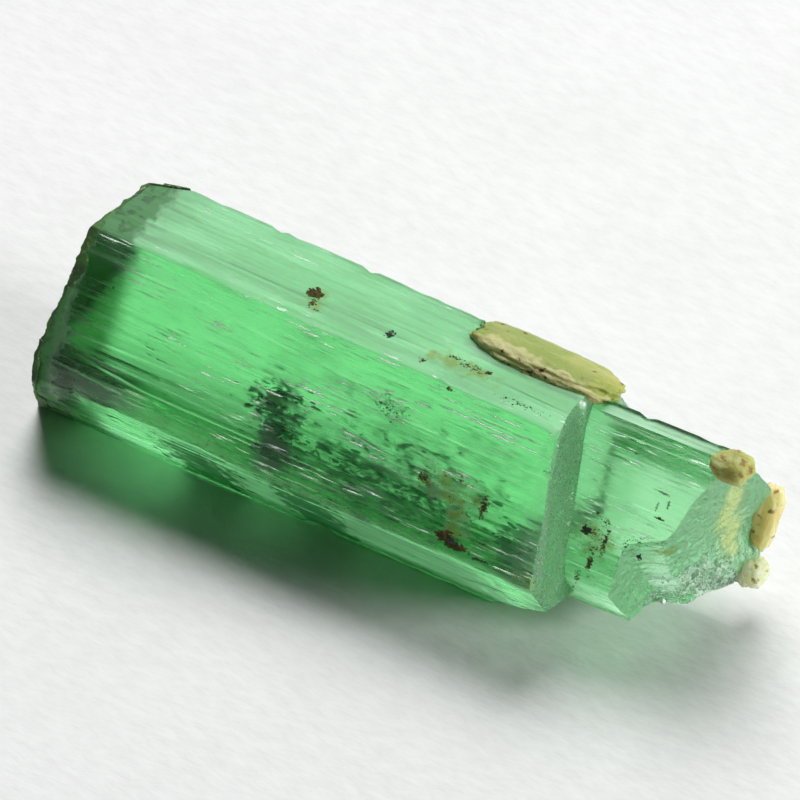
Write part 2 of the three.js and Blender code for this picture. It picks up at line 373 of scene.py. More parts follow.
def prism(name, start, end, thin):
    """A striated prism along X, closed with flat ends that are cut off afterwards."""
    stations = np.linspace(start, end, int((end - start) / STATION_SPACING) + 1)
    distances = [
        face["reach"] - (face["inset"] if thin else 0.0)
        + (0.0 if thin else 1.0) * face["flare"] * (1 - stations / THICK_LENGTH)
        for face in FACES
    ]
    corners = [
        corner(FACES[i - 1], FACES[i], distances[i - 1], distances[i]) for i in range(6)
    ]
    columns = []
    for i, face in enumerate(FACES):
        (y0, z0), (y1, z1) = corners[i], corners[(i + 1) % 6]
        width = np.hypot(y1 - y0, z1 - z0)
        count = int(width.mean() / POINT_SPACING)
        turn = math.radians(face["turn"])
        depth = 0.12 if face["name"] == "bottom" else 1.0
        for k in range(count):
            share = k / count
            from_start, to_end = share * width, (1 - share) * width
            fade = np.clip(np.minimum(from_start, to_end) / 0.12, 0, 1)
            inward = fade * relief(i + (10 if thin else 0), from_start, stations, depth)
            y = y0 + share * (y1 - y0) - math.cos(turn) * inward
            z = z0 + share * (z1 - z0) - math.sin(turn) * inward
            for edge, distance, side in ((i, from_start, -1), (i + 1, to_end, 1)):
                worn = edge_wear(edge % 6, stations, distance, thin)
                y = y - math.cos(turn + side * math.pi / 6) * worn
                z = z - math.sin(turn + side * math.pi / 6) * worn
            columns.append(np.stack([stations, y, z], -1))
    rings = np.stack(columns, 1)
    rows, around = rings.shape[:2]
    points = rings.reshape(-1, 3)
    if thin:
        x, y = rotated(points[:, 0] - THICK_LENGTH, points[:, 1], THIN_TILT)
        points[:, 0], points[:, 1] = THICK_LENGTH + x, y
    centres = np.stack([points[:around].mean(0), points[-around:].mean(0)])
    ring = list(range(around))
    faces = grid_faces(rows, around, close_columns=True).tolist()
    faces += fan(rows * around, ring, flip=True)
    faces += fan(rows * around + 1, [(rows - 1) * around + k for k in ring], flip=False)
    return make_object(name, to_frame(np.concatenate([points, centres])), faces)


def lump_mesh(name, lump, seed, skin=0.0, outward_stretch=1.0):
    """A rounded, uneven lump, moved out by "skin" and stretched outwards, away from the axis."""
    rows, around = 70, 110
    fall = np.linspace(0, math.pi, rows)[1:-1, None]
    turn = np.arange(around)[None, :] * 2 * math.pi / around
    ring = np.stack([np.cos(fall) + 0 * turn, np.sin(fall) * np.cos(turn), np.sin(fall) * np.sin(turn)], -1)
    way = np.concatenate([[[1.0, 0.0, 0.0]], ring.reshape(-1, 3), [[-1.0, 0.0, 0.0]]])
    x, y, z = way.T
    power = lump["squareness"]
    size = (np.abs(x) ** power + np.abs(y) ** power + np.abs(z) ** power) ** (-1 / power)
    size = size * (1 + lump["rough"] * fractal(1.6 * x + 3, 1.6 * y, 1.6 * z, octaves=6, seed=seed, gain=0.6))
    places = way * size[:, None] * (np.array(lump["half"]) + skin)
    places[:, 2] = np.where(places[:, 2] > 0, places[:, 2] * outward_stretch, places[:, 2])
    places[:, 1], places[:, 2] = rotated(places[:, 1], places[:, 2], lump["roll"])
    places = places + np.array(lump["centre"])
    last = len(places) - 1
    faces = [[b + 1, a + 1, c + 1, d + 1] for a, b, d, c in grid_faces(rows - 2, around, True).tolist()]
    faces += fan(0, [1 + k for k in range(around)], flip=False)
    faces += fan(last, [last - around + k for k in range(around)], flip=True)
    return make_object(name, to_frame(places), faces)


def lump_piece(name, node, lump, material, seed):
    piece = lump_mesh(name, lump, seed, LUMP_SKIN)
    shade_smooth(piece, 50)
    finish_piece(piece, material, node)


def section_radius(turn):
    """Distance from the axis to the thick prism's outline at the left end, in the direction "turn"."""
    nearest = np.full(np.shape(turn), 99.0)
    for face in FACES:
        away = np.cos(turn - math.radians(face["turn"]))
        distance = (face["reach"] + 0.95 * face["flare"]) / np.maximum(away, 0.05)
        nearest = np.minimum(nearest, distance)
    return nearest


def coating_piece(material):
    """A thin dark crust on the left end, in contact with the crystal, that laps unevenly over its edges."""
    around, rings = 420, 44
    turn = np.arange(around) * 2 * math.pi / around
    radius = section_radius(turn)
    uneven = fractal(2.2 * np.cos(turn), 2.2 * np.sin(turn), octaves=5, seed=63)
    lap = 0.05 + 0.5 * np.maximum(0, uneven - 0.1)
    on_top_back_edge = np.abs(turn - 1.05) < 0.5
    lap = np.where(on_top_back_edge, 0.05, lap)

    def ring(share, offset):
        y, z = share * radius * np.cos(turn), share * radius * np.sin(turn)
        inner = min(share, 0.985) / share
        return np.stack([left_end(inner * y, inner * z) + offset(y, z), y, z], -1)

    def outer(y, z):
        grains = fractal(2.6 * y, 2.6 * z, octaves=5, seed=61, gain=0.62)
        return -0.035 - 0.05 * np.abs(grains) - 0.05 * np.maximum(0, noise(6 * y, 6 * z, seed=62))

    layers = [ring(share, lambda y, z: 0.04 + 0 * y) for share in np.linspace(0.02, 0.985, rings)]
    layers.append(ring(0.99, lambda y, z: lap))
    layers.append(ring(0.9985, lambda y, z: lap - 0.02))
    layers += [ring(1.002, lambda y, z: part * (lap - 0.03)) for part in (0.75, 0.5, 0.25)]
    layers += [ring(share, outer) for share in np.linspace(1.0, 0.02, rings)]
    rows = len(layers)
    points = np.stack(layers).reshape(-1, 3)
    floor = -FACES[face_named("bottom")]["reach"]
    points[:, 2] = np.maximum(points[:, 2], floor + 0.01)
    faces = [face[::-1] for face in grid_faces(rows, around, True).tolist()]
    faces.append(list(range(around)))
    faces.append([rows * around - 1 - k for k in range(around)])
    piece = make_object("dark_coating", to_frame(points), faces)
    shade_smooth(piece, 40)
    finish_piece(piece, material, "dark_end_crust")


def crystal_piece(material):
    crystal = prism("crystal", -1.5, 23.0, thin=False)
    combine(crystal, cutter("shoulder", shoulder, 30.0, 0.08), "DIFFERENCE")
    combine(crystal, prism("thin_prism", THICK_LENGTH - THIN_ROOT, 26.5, thin=True), "UNION")
    combine(crystal, cutter("broken", broken_end, 32.0, 0.06), "DIFFERENCE")
    combine(crystal, cutter("left", left_end, -4.0, 0.12), "DIFFERENCE")
    combine(crystal, lump_mesh("notch", RIND, 71, outward_stretch=3.0), "DIFFERENCE")
    shade_smooth(crystal, 28)
    finish_piece(crystal, material, "emerald_crystal")


# ---------------- What is sealed in the crystal

def face_named(name):
    return next(i for i, face in enumerate(FACES) if face["name"] == name)


def on_face(name, x, share, depth=0.0):
    """The point at X = x on a face of the thick prism, "share" of the way across it and "depth" mm inside."""
    i = face_named(name)
    before, face, after = FACES[i - 1], FACES[i], FACES[(i + 1) % 6]
    y0, z0 = corner(before, face, before["reach"], face["reach"])
    y1, z1 = corner(face, after, face["reach"], after["reach"])
    turn = math.radians(face["turn"])
    y = y0 + share * (y1 - y0) - depth * math.cos(turn)
    z = z0 + share * (z1 - z0) - depth * math.sin(turn)
    return np.array([x, y, z])


def is_inside(points, margin):
    """Which points lie at least "margin" inside the crystal."""
    x, y, z = np.asarray(points).T
    thin_y = rotated(y, x - THICK_LENGTH, THIN_TILT)[0]
    thick = x < shoulder(y, z) - margin
    thin = x > THICK_LENGTH - THIN_ROOT + 1.0
    for face in FACES:
        thick &= reached(face, y, z) < face["reach"] - margin
        thin &= reached(face, thin_y, z) < face["reach"] - face["inset"] - margin
    return (thick | thin) & (x > left_end(y, z) + margin) & (x < broken_end(y, z) - margin)


def flake_mesh(centres, radii, normals, stretch, thinness, rng):
    """Many flat, irregular flakes. Each is "stretch" times longer along X than across."""
    sides = 6
    count = len(centres)
    normals = normals / np.linalg.norm(normals, axis=1, keepdims=True)
    along = np.array([1.0, 0.0, 0.0]) - normals * normals[:, :1]
    short = np.linalg.norm(along, axis=1, keepdims=True) < 0.1
    along = np.where(short, np.cross(normals, [0.0, 1.0, 0.0]), along)
    along = along / np.linalg.norm(along, axis=1, keepdims=True)
    across = np.cross(normals, along)
    angle = np.arange(sides) * 2 * math.pi / sides
    rim_radius = radii[:, None] * rng.uniform(*FLAKE_RIM, (count, sides))
    rim = centres[:, None] + along[:, None] * (rim_radius * np.cos(angle) * stretch[:, None])[..., None]
    rim = rim + across[:, None] * (rim_radius * np.sin(angle))[..., None]
    rise = normals * (radii * thinness)[:, None]
    points = np.concatenate([rim, (centres + rise)[:, None], (centres - rise)[:, None]], 1)
    k = np.arange(sides)
    following = (k + 1) % sides
    upper = np.stack([k, following, np.full(sides, sides)], -1)
    lower = np.stack([following, k, np.full(sides, sides + 1)], -1)
    pattern = np.concatenate([upper, lower])
    faces = (pattern[None] + (np.arange(count) * (sides + 2))[:, None, None]).reshape(-1, 3)
    return points.reshape(-1, 3), faces


def joined_flakes(name, batches, material):
    """One piece from several batches of flakes."""
    places, corners = zip(*batches)
    starts = np.cumsum([0] + [len(points) for points in places[:-1]])
    faces = np.concatenate([faces + start for faces, start in zip(corners, starts)])
    finish_piece(make_object(name, to_frame(np.concatenate(places)), faces), material)


def cloud(rng, centre, spread, count, margin):
    """Scattered places round a centre, thick in the middle, kept inside the crystal."""
    places = centre + rng.normal(0, 1, (count, 3)) * np.array(spread)
    return places[is_inside(places, margin)]


def sealed_piece(name, groups, material, seed, radius, stretch, thinness, tumble,
                 normal=(0, 0, 1), aligned=False, margin=0.12):
    """One piece made of flakes in loose groups. Each group: its centre, spread and count."""
    rng = np.random.default_rng(seed)
    batches = []
    for centre, spread, count in groups:
        centres = cloud(rng, centre, spread, count, margin)
        count = len(centres)
        radii = radius * rng.lognormal(0, 0.45, count)
        lengths = stretch * rng.uniform(0.6, 1.5, count)
        reach = (radii * lengths * FLAKE_RIM[1])[:, None] * np.array([1.0, 0.0, 0.0])
        fits = is_inside(centres - reach, TIP_MARGIN) & is_inside(centres + reach, TIP_MARGIN)
        centres, radii, lengths, count = centres[fits], radii[fits], lengths[fits], int(fits.sum())
        normals = rng.normal(0, tumble, (count, 3)) + np.array(normal)
        if aligned:
            normals[:, 0] = 0.02 * rng.normal(0, 1, count)
        batches.append(flake_mesh(centres, radii, normals, lengths, thinness, rng))
    joined_flakes(name, batches, material)


def growth_tubes():
    """Fine hollow growth tubes along the prism, in loose swarms."""
    swarms = [
        ((4.0, -0.5, 1.0), (2.6, 2.0, 2.0), 160),
        ((9.5, 0.5, 2.5), (2.6, 1.6, 1.2), 260),
        ((14.0, -0.5, 1.5), (2.6, 1.8, 1.8), 200),
    ]
    material = mottled_material("growth_tubes", (0.8, 1.0, 0.85), (0.95, 1.0, 0.96), 4000, 0.25,
                                transmission=1.0, ior=1 / EMERALD_IOR)
    sealed_piece("growth_tubes", swarms, material, 5, radius=0.009, stretch=42.0, thinness=0.8, tumble=0.6,
                 aligned=True)


def smoky_veils():
    """Clouds of dark green flakes, which show as soft dark patches."""
    clouds = [
        (on_face("upper front", 9.4, 0.84, 0.7), (0.35, 0.45, 0.5), 700),
        (on_face("upper front", 12.4, 0.8, 0.9), (1.3, 0.6, 0.6), 650),
        (on_face("upper front", 14.8, 0.75, 1.0), (1.2, 0.7, 0.7), 550),
        (on_face("upper front", 18.1, 0.78, 0.5), (0.35, 0.3, 0.3), 180),
        (on_face("upper front", 9.1, 0.58, 0.8), (0.5, 0.4, 0.4), 300),
        ((13.0, 1.5, -1.6), (2.6, 0.9, 0.9), 700),
    ]
    material = mottled_material("smoky_veils", (0.03, 0.3, 0.1), (0.07, 0.45, 0.16), 2500, 0.5)
    sealed_piece("smoky_veils", clouds, material, 6, radius=0.03, stretch=4.0, thinness=0.3, tumble=0.6,
                 normal=(0.2, -0.4, 1.0))


def dark_grains():
    """Clusters of black-green grains just under the faces."""
    clusters = [
        (on_face("upper front", 9.2, 0.58, 0.2), (0.4, 0.25, 0.35), 420),
        (on_face("upper front", 9.8, 0.68, 0.25), (0.3, 0.25, 0.35), 160),
        (on_face("upper front", 13.0, 0.27, 0.2), (0.4, 0.2, 0.3), 170),
        (on_face("lower front", 6.9, 0.6, 0.12), (0.9, 0.3, 0.7), 900),
        (on_face("lower front", 10.8, 0.6, 0.12), (1.0, 0.3, 0.7), 1300),
    ]
    material = mottled_material("dark_grains", (0.006, 0.035, 0.014), (0.02, 0.09, 0.035), 9000, 0.5)
    sealed_piece("dark_grains", clusters, material, 7, radius=0.02, stretch=1.6, thinness=0.6, tumble=1.0,
                 margin=0.05)


# ---------------- Specks and crumbs on the surface

# Each cluster: face, x, share of the way across the face, half length, half width, count, radius.
BROWN_SPECKS = [
    ("top", 9.08, 0.6, 0.09, 0.07, 200, 0.034), ("top", 9.2, 0.72, 0.06, 0.14, 50, 0.018),
    ("top", 9.45, 0.8, 0.1, 0.03, 16, 0.014),
    ("upper front", 15.95, 0.885, 0.13, 0.08, 200, 0.034), ("upper front", 16.4, 0.91, 0.16, 0.06, 150, 0.03),
    ("upper front", 17.0, 0.83, 0.25, 0.02, 26, 0.016), ("lower front", 14.7, 0.17, 0.25, 0.1, 50, 0.018),
    ("upper front", 14.7, 0.6, 0.1, 0.09, 60, 0.024), ("upper front", 16.9, 0.62, 0.07, 0.16, 90, 0.022),
    ("upper front", 15.8, 0.52, 0.4, 0.06, 50, 0.014), ("upper front", 16.1, 0.64, 0.5, 0.2, 60, 0.012),
    ("top", 13.36, 0.83, 0.07, 0.04, 22, 0.02), ("top", 14.2, 0.62, 0.12, 0.05, 26, 0.018),
    ("top", 14.9, 0.66, 0.3, 0.07, 60, 0.018), ("upper front", 14.7, 0.02, 0.05, 0.03, 12, 0.024),
    ("upper front", 21.9, 0.2, 0.14, 0.02, 40, 0.014), ("upper front", 22.1, 0.26, 0.02, 0.08, 24, 0.014),
    ("upper front", 21.75, 0.3, 0.02, 0.09, 22, 0.014), ("upper front", 21.95, 0.36, 0.08, 0.02, 24, 0.016),
    ("upper front", 20.1, 0.62, 0.25, 0.35, 120, 0.014), ("upper front", 20.15, 0.78, 0.05, 0.15, 110, 0.02),
    ("upper front", 20.45, 0.62, 0.04, 0.25, 90, 0.018), ("upper front", 20.3, 0.5, 0.1, 0.06, 50, 0.016),
    ("upper front", 19.9, 0.9, 0.04, 0.15, 40, 0.016),
]
BLACK_SPECKS = [
    ("top", 11.96, 0.7, 0.06, 0.07, 60, 0.024), ("upper front", 19.75, 0.6, 0.06, 0.05, 90, 0.028),
    ("upper front", 17.3, 0.93, 0.16, 0.02, 30, 0.022), ("lower front", 16.15, 0.29, 0.03, 0.03, 14, 0.024),
    ("upper front", 18.9, 0.93, 0.12, 0.05, 30, 0.018), ("upper front", 21.45, 0.54, 0.14, 0.05, 34, 0.016),
    ("upper front", 21.65, 0.63, 0.05, 0.04, 24, 0.022), ("upper front", 21.1, 0.6, 0.04, 0.12, 24, 0.014),
    ("top", 21.0, 0.8, 0.015, 0.015, 4, 0.026), ("upper front", 16.1, 0.9, 0.06, 0.04, 50, 0.024),
    ("upper front", 2.9, 0.3, 0.02, 0.03, 5, 0.02), ("upper front", 19.95, 0.47, 0.02, 0.02, 6, 0.024),
    ("upper front", 12.9, 0.27, 0.25, 0.1, 60, 0.014), ("top", 16.9, 0.85, 0.5, 0.05, 60, 0.016),
]


def speck_piece(name, clusters, material, seed):
    """Crumbs lying on the faces, in clusters."""
    rng = np.random.default_rng(seed)
    batches = []
    for face_name, x, share, length, width, count, radius in clusters:
        face = FACES[face_named(face_name)]
        turn = math.radians(face["turn"])
        inset = face["inset"] if x > SPECKS_ON_THIN else 0.0
        outward = np.array([0.0, math.cos(turn), math.sin(turn)])
        across = np.array([0.0, -math.sin(turn), math.cos(turn)])
        along = rng.normal(0, 1, (count, 3)) * np.array([length, 0, 0])
        centres = on_face(face_name, x, share, inset + SPECK_DEPTH) + along
        centres = centres + across * rng.normal(0, width, (count, 1))
        if inset:
            centres[:, 1] += (centres[:, 0] - THICK_LENGTH) * math.tan(math.radians(THIN_TILT))
        normals = outward + rng.normal(0, 0.12, (count, 3))
        radii = radius * rng.lognormal(0, 0.4, count)
        batches.append(flake_mesh(centres, radii, normals, rng.uniform(0.8, 1.8, count), 0.5, rng))
    joined_flakes(name, batches, material)


def surface_specks():
    for name, clusters, dark, pale, roughness, seed in [
        ("brown_specks", BROWN_SPECKS, (0.022, 0.021, 0.003), (0.12, 0.085, 0.014), 0.85, 81),
        ("black_specks", BLACK_SPECKS, (0.008, 0.014, 0.01), (0.03, 0.04, 0.026), 0.5, 82),
    ]:
        speck_piece(name, clusters, mottled_material(name, dark, pale, 9000, roughness), seed)


def crushed_crumbs():
    """Pale angular crumbs that still cling to the crushed part of the broken end."""
    rng = np.random.default_rng(83)
    places = []
    for y, z, spread_y, spread_z, count in [
        (0.45, -1.6, 0.5, 0.45, 260),
        (1.3, -2.4, 0.5, 0.25, 160),
        (-0.3, -2.6, 0.35, 0.2, 70),
    ]:
        yz = rng.normal(0, 1, (count, 2)) * [spread_y, spread_z] + [y, z]
        x = broken_end(yz[:, 0], yz[:, 1])
        places.append(np.stack([x, yz[:, 0], yz[:, 1]], -1))
    places = np.concatenate(places)
    places = places[is_inside(places - np.array([0.2, 0, 0]), 0.06)]
    count = len(places)
    normals = np.array([0.35, -0.1, 0.9]) + rng.normal(0, 0.4, (count, 3))
    radii = 0.05 * rng.lognormal(0, 0.35, count)
    batch = flake_mesh(places, radii, normals, rng.uniform(0.7, 1.6, count), 0.7, rng)
    material = mottled_material("crushed_crumbs", (0.85, 1.0, 0.88), (0.6, 0.97, 0.66), 3000, 0.3,
                                transmission=0.6)
    joined_flakes("crushed_crumbs", [batch], material)


# ---------------- Materials

# Patches of the crystal's surface. Each has a place, half sizes in mm and how ragged its outline is.
CRUSHED_PATCHES = [
    ((22.4, 0.45, -1.7), (1.5, 0.9, 0.8), 0.5),
    ((22.2, 1.4, -2.5), (1.5, 0.9, 0.6), 0.5),
]
TAN_BAND = [((23.1, 1.15, 1.3), (1.5, 0.42, 1.5), 0.4), ((23.0, 1.5, -0.3), (1.5, 0.35, 1.1), 0.4)]
OLIVE_STAINS = [
    (on_face("upper front", 15.7, 0.60), (1.2, 0.35, 0.45), 0.6),
    (on_face("upper front", 16.25, 0.78), (0.4, 0.35, 0.6), 0.6),
    (on_face("upper front", 18.9, 0.93), (0.5, 0.2, 0.3), 0.6),
    (on_face("top", 14.6, 0.70), (1.0, 0.3, 0.2), 0.8),
    ((22.2, -0.9, 0.5), (0.5, 0.3, 0.25), 0.6),
    (on_face("upper front", 20.0, 0.62, 1.5), (0.6, 0.4, 0.6), 0.7),
    (on_face("top", 9.2, 0.66), (0.35, 0.45, 0.3), 0.6),
]
PALE_RIDGE = [((20.9, 0.4, 4.05), (2.8, 1.1, 0.8), 0.6)]
DASH_GROUPS = [
    (on_face("upper front", 7.0, 0.5), (1.9, 0.5, 0.7), 0.5),
    (on_face("upper front", 10.3, 0.45), (1.4, 0.4, 0.6), 0.5),
    (on_face("upper front", 13.2, 0.25), (1.0, 0.4, 0.6), 0.5),
    (on_face("upper front", 17.0, 0.12), (1.8, 0.3, 0.4), 0.5),
    (on_face("upper front", 20.6, 0.06, 1.5), (2.0, 0.5, 0.7), 0.3),
    (on_face("upper front", 20.6, 0.5, 1.5), (1.6, 0.5, 0.7), 0.5),
]


class Graph:
    """A new material, with short names for the shader nodes that the materials here are made of."""

    def __init__(self, name):
        self.material = bpy.data.materials.new(name)
        self.material.use_nodes = True
        self.nodes = self.material.node_tree.nodes
        self.links = self.material.node_tree.links
        self.nodes.clear()
        self.output = self.nodes.new("ShaderNodeOutputMaterial")
        self.shader = self.nodes.new("ShaderNodeBsdfPrincipled")
        self.links.new(self.shader.outputs["BSDF"], self.output.inputs["Surface"])
        self.place = self.nodes.new("ShaderNodeTexCoord").outputs["Object"]
        self.uneven = None

    def set(self, name, value):
        """Gives one input of the material's shader a plain value or a socket."""
        self.feed(self.shader.inputs[name], value)

    def axes(self, vector):
        """The X, Y and Z of a vector."""
        separate = self.nodes.new("ShaderNodeSeparateXYZ")
        self.links.new(vector, separate.inputs["Vector"])
        return separate.outputs["X"], separate.outputs["Y"], separate.outputs["Z"]

    def vector(self, operation, first, second=(0.0, 0.0, 0.0)):
        """A vector calculation. Either value may be a socket or three numbers."""
        node = self.nodes.new("ShaderNodeVectorMath")
        node.operation = operation
        for socket, value in zip(node.inputs, (first, second)):
            self.feed(socket, value)
        return node

    def feed(self, socket, value):
        if isinstance(value, bpy.types.NodeSocket):
            self.links.new(value, socket)
        elif isinstance(value, tuple) and len(value) == 3 and socket.type == "RGBA":
            socket.default_value = (*value, 1)
        else:
            socket.default_value = value

    def math(self, operation, first, second=0.0, third=0.0):
        node = self.nodes.new("ShaderNodeMath")
        node.operation = operation
        for socket, value in zip(node.inputs, (first, second, third)):
            self.feed(socket, value)
        return node.outputs["Value"]

    def product(self, *values):
        total = values[0]
        for value in values[1:]:
            total = self.math("MULTIPLY", total, value)
        return total

    def spread(self, value, low, high, to_low=0.0, to_high=1.0):
        """Smoothly maps low..high to to_low..to_high, and stays at the ends outside it."""
        node = self.nodes.new("ShaderNodeMapRange")
        node.interpolation_type = "SMOOTHSTEP"
        for name, setting in (("Value", value), ("From Min", low), ("From Max", high),
                              ("To Min", to_low), ("To Max", to_high)):
            self.feed(node.inputs[name], setting)
        return node.outputs["Result"]

    def stretch_of(self, value, start, low, high, end):
        """1 from low to high, and smoothly down to 0 at start and end."""
        return self.product(self.spread(value, start, low), self.spread(value, end, high))

    def mix(self, share, first, second):
        node = self.nodes.new("ShaderNodeMix")
        node.data_type = "RGBA"
        colours = [socket for socket in node.inputs if socket.type == "RGBA"]
        self.feed(node.inputs["Factor"], share)
        self.feed(colours[0], first)
        self.feed(colours[1], second)
        return next(socket for socket in node.outputs if socket.type == "RGBA")

    def noise(self, scale, detail, offset, stretch=(1.0, 1.0, 1.0)):
        """Noise with "scale" features a metre, times "stretch" along each axis."""
        mapping = self.nodes.new("ShaderNodeMapping")
        mapping.inputs["Location"].default_value = (offset, offset, offset)
        mapping.inputs["Scale"].default_value = [scale * factor for factor in stretch]
        texture = self.nodes.new("ShaderNodeTexNoise")
        texture.inputs["Scale"].default_value = 1.0
        texture.inputs["Detail"].default_value = detail
        self.links.new(self.place, mapping.inputs["Vector"])
        self.links.new(mapping.outputs["Vector"], texture.inputs["Vector"])
        return texture.outputs["Fac"]

    def along_prism(self):
        """Millimetres along the prism from its left tip."""
        return self.math("MULTIPLY_ADD", self.axes(self.place)[0], 1 / MM, -float(AXIS_START[0]))

    def blotch(self, centre, half_size, raggedness, softness):
        """1 inside an uneven patch round a place in the section frame, 0 outside it."""
        middle = tuple(float(v) for v in to_frame(centre))
        away = self.vector("SUBTRACT", self.place, middle).outputs["Vector"]
        scaled = self.vector("MULTIPLY", away, tuple(1 / (size * MM) for size in half_size))
        length = self.vector("LENGTH", scaled.outputs["Vector"]).outputs["Value"]
        uneven = self.math("MULTIPLY_ADD", self.shared_noise(), raggedness * 3.0, length)
        level = 1.0 + raggedness * 1.5
        return self.spread(uneven, level + softness, level - softness)

    def shared_noise(self):
        """The one unevenness that all the patches of a material follow."""
        if self.uneven is None:
            self.uneven = self.noise(2600, 3, 21.0)
        return self.uneven

    def patches(self, places, softness=0.15):
        """The union of several blotches."""
        total = None
        for centre, half_size, raggedness in places:
            one = self.blotch(centre, half_size, raggedness, softness)
            total = one if total is None else self.math("MAXIMUM", total, one)
        return total

    def low_front_side(self, lump):
        """0 at the middle of a lump and 1 at its lower front side."""
        middle = (AXIS_START[1] + lump["centre"][1]) * MM
        forward = self.math("SUBTRACT", float(middle), self.axes(self.place)[1])
        return self.math("MULTIPLY", forward, 1 / (lump["half"][1] * MM))

    def bump(self, height, distance):
        node = self.nodes.new("ShaderNodeBump")
        node.inputs["Strength"].default_value = 1.0
        node.inputs["Distance"].default_value = distance
        self.links.new(height, node.inputs["Height"])
        return node.outputs["Normal"]

    def lifted(self, normal, share):
        """Turns the surface upwards where the share is large: small risers that catch light from above."""
        lift = self.vector("SCALE", (0.0, 0.0, 1.0))
        self.feed(lift.inputs["Scale"], share)
        total = self.vector("ADD", normal, lift.outputs["Vector"]).outputs["Vector"]
        return self.vector("NORMALIZE", total).outputs["Vector"]


def dash_mask(graph, cloudy):
    """1 on the short white dashes of the striated faces. They come in groups. Their glints come from tilted
    normals, and their paler tint and whitish haze are a painted highlight.
    """
    groups = graph.patches(DASH_GROUPS, 0.6)
    loose = graph.spread(cloudy, 0.5, 0.62, 0.0, 0.7)
    fine = graph.spread(graph.noise(14000, 1, 5.0, (0.07, 1, 1)), 0.6, 0.68)
    return graph.product(fine, graph.math("MAXIMUM", groups, loose))


def low_front_shade_length(graph, x):
    """Where the lower front face is painted dark as shade: two strong patches on a fainter stretch."""
    ragged = graph.math("MULTIPLY_ADD", graph.shared_noise(), 4.0, x)
    strong = graph.math("MAXIMUM", graph.stretch_of(ragged, 6.9, 8.1, 9.4, 10.6),
                        graph.stretch_of(ragged, 10.9, 12.1, 13.4, 14.6))
    faint = graph.product(graph.stretch_of(ragged, 8.0, 10.0, 18.5, 20.5), 0.6)
    return graph.math("MAXIMUM", faint, strong)


def emerald_masks(graph, cloudy):
    """Where each covering, stain or part of the crystal's surface is: 1 on it and 0 off it."""
    spread, product = graph.spread, graph.product
    x = graph.along_prism()
    ragged_x = graph.math("MULTIPLY_ADD", graph.shared_noise(), 1.2, x)
    facing_x, facing_y, facing_z = graph.axes(graph.nodes.new("ShaderNodeNewGeometry").outputs["True Normal"])
    ends = spread(graph.math("ABSOLUTE", facing_x), 0.35, 0.7)
    up, down = spread(facing_z, 0.75, 0.95), spread(facing_z, -0.75, -0.95)
    back = spread(graph.math("MULTIPLY_ADD", facing_z, 0.7, facing_y), 0.9, 1.1)
    low_front = product(spread(facing_z, -0.2, -0.4), spread(facing_y, -0.5, -0.7))
    thin = spread(x, 18.3, 19.6)
    mottled = spread(graph.shared_noise(), 0.38, 0.6, 1.0, 0.45)
    frost = product(spread(x, 6.0, 11.0, 0.06, 0.7), spread(x, 19.5, 18.5, 0.15, 1.0))
    frost = product(frost, spread(cloudy, 0.4, 0.6, 0.6, 1.0))
    # Painted shade: a dark film on the bottom face, from about X 7.4 to 19.5, that makes the lower middle of
    # the crystal look dark and stops light under it.
    shaded_bottom = product(spread(ragged_x, 7.4, 12.0), down, spread(x, 19.5, 18.5))
    return {
        "ends": ends, "up": up, "back": back, "thin": thin, "shaded_bottom": shaded_bottom,
        "frosted_back": product(back, frost),
        "dashes": dash_mask(graph, cloudy),
        "crushed": product(ends, graph.patches(CRUSHED_PATCHES)),
        "tan_band": product(ends, graph.patches(TAN_BAND, 0.5)),
        "olive": product(graph.patches(OLIVE_STAINS, 0.5), mottled),
        "ridge": product(thin, up, graph.patches(PALE_RIDGE, 0.7)),
        # Painted shade: a dark film on the lower front face, which also stops light from reaching the shadow
        # in front.
        "shaded_low_front": product(low_front, low_front_shade_length(graph, x)),
        "broken": product(ends, spread(x, 20.3, 21.0, 0.6, 0.9)),
        "near_step": graph.stretch_of(ragged_x, 18.6, 19.4, 20.0, 20.8),
        "left_edge": spread(ragged_x, 2.5, 1.9),
        "left_rim": product(spread(ragged_x, 3.9, 3.4), up),
    }


# How much light each covering stops.
HAZE_SHARES = {
    # The whitish haze on the dashes is a painted highlight.
    "broken": 0.33, "shaded_bottom": 0.6, "frosted_back": 1.0, "dashes": 0.3, "near_step": 0.2, "shaded_low_front": 0.6,
    "crushed": 0.75, "tan_band": 0.6, "olive": 0.4, "ridge": 0.85, "left_edge": 0.5, "left_rim": 0.75,
}
# How far each covering changes the surface colour, and to what. Later ones lie over earlier ones.
TINTS = [
    ("back", 0.8, (0.32, 0.95, 0.44)), ("ends", 0.9, (0.45, 1.0, 0.54)), ("ridge", 0.8, (0.55, 1.0, 0.62)),
    ("crushed", 1.0, (0.74, 1.0, 0.77)), ("tan_band", 0.9, (0.8, 0.92, 0.34)),
    ("olive", 0.95, (0.38, 0.5, 0.08)), ("near_step", 0.5, (0.5, 0.92, 0.58)),
    ("left_edge", 0.95, (0.09, 0.42, 0.09)), ("left_rim", 0.95, (0.07, 0.26, 0.08)),
    # Painted shade: the two dark tints below, on the lower front face and on the bottom.
    ("shaded_low_front", 1.0, (0.03, 0.2, 0.06)), ("shaded_bottom", 0.9, (0.03, 0.2, 0.06)),
]


def emerald_haze(graph, masks, striae, cloudy):
    """How much of each place is covered by a thin haze that does not let light through."""
    patches = graph.spread(cloudy, 0.45, 0.6)
    haze = graph.math("MULTIPLY_ADD", patches, 0.2, graph.spread(striae, 0.35, 0.65, 0.14, 0.42))
    haze = graph.math("MAXIMUM", graph.product(haze, masks["up"]), graph.product(patches, 0.05))
    for name, share in HAZE_SHARES.items():
        haze = graph.math("MAXIMUM", haze, graph.product(masks[name], share))
    return haze


